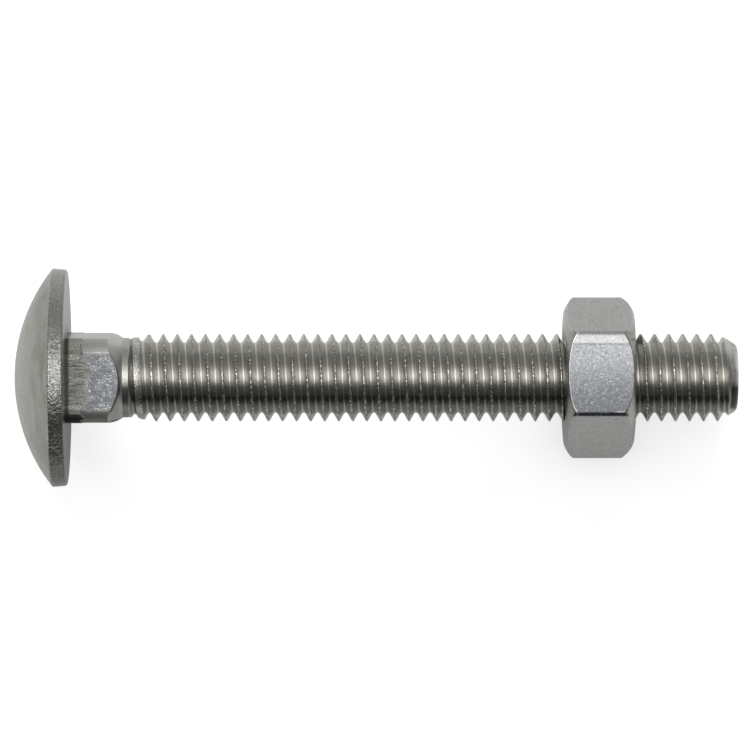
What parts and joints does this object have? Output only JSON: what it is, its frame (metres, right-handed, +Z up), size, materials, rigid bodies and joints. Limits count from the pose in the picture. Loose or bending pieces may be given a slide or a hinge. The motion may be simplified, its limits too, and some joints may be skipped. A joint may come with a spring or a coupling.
{
  "type": "carriage bolt",
  "caption": "Carriage bolt with a low domed head, a square neck, a full-length right-hand thread and a hexagon nut that runs along it.",
  "frame": {"origin": "on the ground, under the centre of the part's bounding box as it lies on the head's rim and one flat of the nut", "axes": "+X along the bolt from the head to the tip, which slopes down by 3.76 degrees; +Z up; +Y across the bolt"},
  "size_m": [0.0644, 0.0194, 0.0194],
  "materials": {
    "bolt_steel": "plain cold-formed steel, satin dome and rough rim",
    "nut_steel": "plain steel with scratched flats"
  },
  "bodies": {
    "bolt": {"bolt": "bolt_steel"},
    "nut": {"nut": "nut_steel"}
  },
  "joints": [
    {"name": "nut_travel", "type": "slide", "parent": "bolt", "child": "nut", "axis": [0.9978, 0, -0.0656], "range_m": [-0.03625, 0.01375]}
  ]
}
